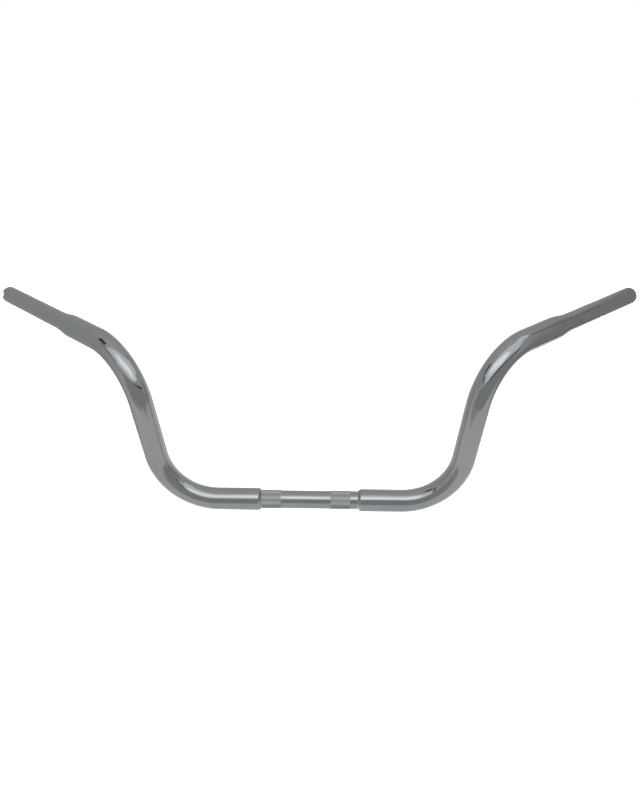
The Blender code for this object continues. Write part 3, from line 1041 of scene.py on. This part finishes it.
def make_cards():
    """Hangs the studio's softboxes and flags round the bar, as sheets only the plating can see."""
    for name, card in STUDIO_CARDS.items():
        middle, wide, high = card_directions(card)
        soft = card.softness * min(card.half_width, card.half_height)
        width, height = card.half_width + soft, card.half_height + soft
        signs = ((-1, -1), (1, -1), (1, 1), (-1, 1))
        mesh = bpy.data.meshes.new(name)
        mesh.from_pydata([card.around + card.away * middle + across * width * wide + up * height * high
                          for across, up in signs], [], [(0, 1, 2, 3)])
        sheet_map = mesh.uv_layers.new(name=UNROLLED)
        for corner, (across, up) in zip(sheet_map.data, signs):
            corner.uv = (across * width, up * height)
        mesh.materials.append(card_paint(name, card))
        sheet = put(name, mesh)
        for unseen in ("camera", "diffuse", "transmission", "volume_scatter", "shadow"):
            setattr(sheet, f"visible_{unseen}", False)


def make_room():
    """The room round the cards: white to the camera, and plain grey to everything that is lit."""
    world = bpy.data.worlds.new("studio")
    bpy.context.scene.world = world
    board = Board(world)
    ray = board.add("ShaderNodeTexCoord")
    rising = board.reckon("ARCSINE", board.dot(ray, (0.0, 0.0, 1.0))) / pi + 0.5
    level = board.add("ShaderNodeValToRGB", {"stops": ROOM_LEVELS}, {0: rising})
    seen = board.add("ShaderNodeLightPath")
    shown = board.blend(seen, level, (1.0, 1.0, 1.0, 1.0))
    light = board.add("ShaderNodeBackground", None, {"Color": shown, "Strength": 1.0})
    board.add("ShaderNodeOutputWorld", None, {"Surface": light})


def make_floor(stage):
    """A plain pale floor, a flat sheet that the chrome doesn't mirror."""
    mesh = bpy.data.meshes.new("studio_floor")
    half, low = stage.floor_size, -stage.floor_drop
    corners = [(-half, -half, low), (half, -half, low), (half, half, low), (-half, half, low)]
    mesh.from_pydata(corners, [], [(0, 1, 2, 3)])
    floor = put("studio_floor", mesh)
    material = bpy.data.materials.new("floor_paint")
    board = Board(material)
    place = board.add("ShaderNodeTexCoord", None, None, 3)
    grain = board.noise(place, FLOOR_GRAIN_SCALE, 4.0)
    paler = solid([min(1.0, value * 1.03) for value in stage.floor_colour])
    paint = board.blend(grain, solid(stage.floor_colour), paler)
    matt = board.add("ShaderNodeBsdfPrincipled", None, {
        "Base Color": paint, "Roughness": 0.75 + 0.1 * grain})
    clear = board.add("ShaderNodeBsdfTransparent")
    under = board.add("ShaderNodeNewGeometry", None, None, 6)
    both = board.add("ShaderNodeMixShader", None, {0: under, 1: matt, 2: clear})
    board.add("ShaderNodeOutputMaterial", None, {"Surface": both})
    mesh.materials.append(material)
    floor.visible_glossy = False


def make_light(stage):
    """One wide soft light from overhead, which the chrome doesn't mirror."""
    lamp = bpy.data.lights.new("overhead_light", "SUN")
    lamp.energy = stage.light
    lamp.angle = LAMP_SPREAD
    put("overhead_light", lamp).visible_glossy = False


def make_camera(stage):
    """The camera stands in front of the bar, a little above it, and looks down on it."""
    data = bpy.data.cameras.new("camera")
    data.sensor_width = 36.0
    data.lens = stage.lens
    data.clip_start = 0.01
    data.clip_end = 100.0
    camera = put("camera", data)
    aim = Matrix.Rotation(stage.bearing, 4, "Z") @ Matrix.Rotation(pi / 2 - stage.tilt, 4, "X")
    aim = aim @ Matrix.Rotation(-stage.roll, 4, "Z")
    camera.matrix_world = Matrix.Translation(stage.eye) @ aim
    bpy.context.scene.camera = camera
    bpy.context.scene.view_settings.view_transform = "Standard"


# ---- operators and panel

def settings(context):
    """The sizes that every piece is made from."""
    return context.scene.handlebar_tubes, context.scene.handlebar_details


class HANDLEBAR_OT_clamp_tube(bpy.types.Operator):
    """Make the knurled clamp tube with its wire slot"""
    bl_idname = "handlebar.clamp_tube"
    bl_label = "Clamp tube"

    def execute(self, context):
        clamp_tube(*settings(context), plating(
            "clamp_chrome", context.scene.handlebar_colours, haze=0.01, knurled=True))
        return {"FINISHED"}


class HANDLEBAR_OT_side_tubes(bpy.types.Operator):
    """Make the two bent side tubes"""
    bl_idname = "handlebar.side_tubes"
    bl_label = "Side tubes"

    def execute(self, context):
        material = plating("riser_chrome", context.scene.handlebar_colours)
        for word in WAY_OUT:
            side_tube(*settings(context), word, material)
        return {"FINISHED"}


class HANDLEBAR_OT_grips(bpy.types.Operator):
    """Make the two grips, one with end notches and one with a wire hole"""
    bl_idname = "handlebar.grips"
    bl_label = "Grips"

    def execute(self, context):
        material = plating("grip_chrome", context.scene.handlebar_colours)
        for word in WAY_OUT:
            grip_tube(*settings(context), word, material)
        return {"FINISHED"}


class HANDLEBAR_OT_welds(bpy.types.Operator):
    """Make the four plated weld beads"""
    bl_idname = "handlebar.welds"
    bl_label = "Welds"

    def execute(self, context):
        material = plating("bead_chrome", context.scene.handlebar_colours, haze=0.06, rippled=True)
        for word in WAY_OUT:
            for kind in WELD_NODES:
                weld_ring(*settings(context), word, kind, material)
        return {"FINISHED"}


class HANDLEBAR_OT_stage(bpy.types.Operator):
    """Make the room with its sheets of light and dark, the floor, the light and the camera"""
    bl_idname = "handlebar.stage"
    bl_label = "Stage"

    def execute(self, context):
        stage = context.scene.handlebar_stage
        make_room()
        make_cards()
        make_floor(stage)
        make_light(stage)
        make_camera(stage)
        return {"FINISHED"}


STEPS = (HANDLEBAR_OT_stage, HANDLEBAR_OT_clamp_tube, HANDLEBAR_OT_side_tubes,
         HANDLEBAR_OT_grips, HANDLEBAR_OT_welds)


class HANDLEBAR_PT_panel(bpy.types.Panel):
    """The steps that build the handlebar, and their sizes"""
    bl_idname = "HANDLEBAR_PT_panel"
    bl_label = "Handlebar"
    bl_space_type = "VIEW_3D"
    bl_region_type = "UI"
    bl_category = "Handlebar"

    def draw(self, context):
        for step in STEPS:
            self.layout.operator(step.bl_idname)
        for group in GROUPS:
            box = self.layout.box()
            for name in GROUPS[group].__annotations__:
                box.prop(getattr(context.scene, group), name)


GROUPS = {
    "handlebar_tubes": TubeSizes,
    "handlebar_details": DetailSizes,
    "handlebar_colours": FinishColours,
    "handlebar_stage": StageSizes,
}


def register():
    for group, kind in GROUPS.items():
        bpy.utils.register_class(kind)
        setattr(bpy.types.Scene, group, PointerProperty(type=kind))
    for kind in (*STEPS, HANDLEBAR_PT_panel):
        bpy.utils.register_class(kind)


def unregister():
    for kind in (HANDLEBAR_PT_panel, *reversed(STEPS)):
        bpy.utils.unregister_class(kind)
    for group, kind in reversed(GROUPS.items()):
        delattr(bpy.types.Scene, group)
        bpy.utils.unregister_class(kind)


def main():
    register()
    bpy.ops.handlebar.stage()
    bpy.ops.handlebar.clamp_tube()
    bpy.ops.handlebar.side_tubes()
    bpy.ops.handlebar.grips()
    bpy.ops.handlebar.welds()


if __name__ == "__main__":
    main()
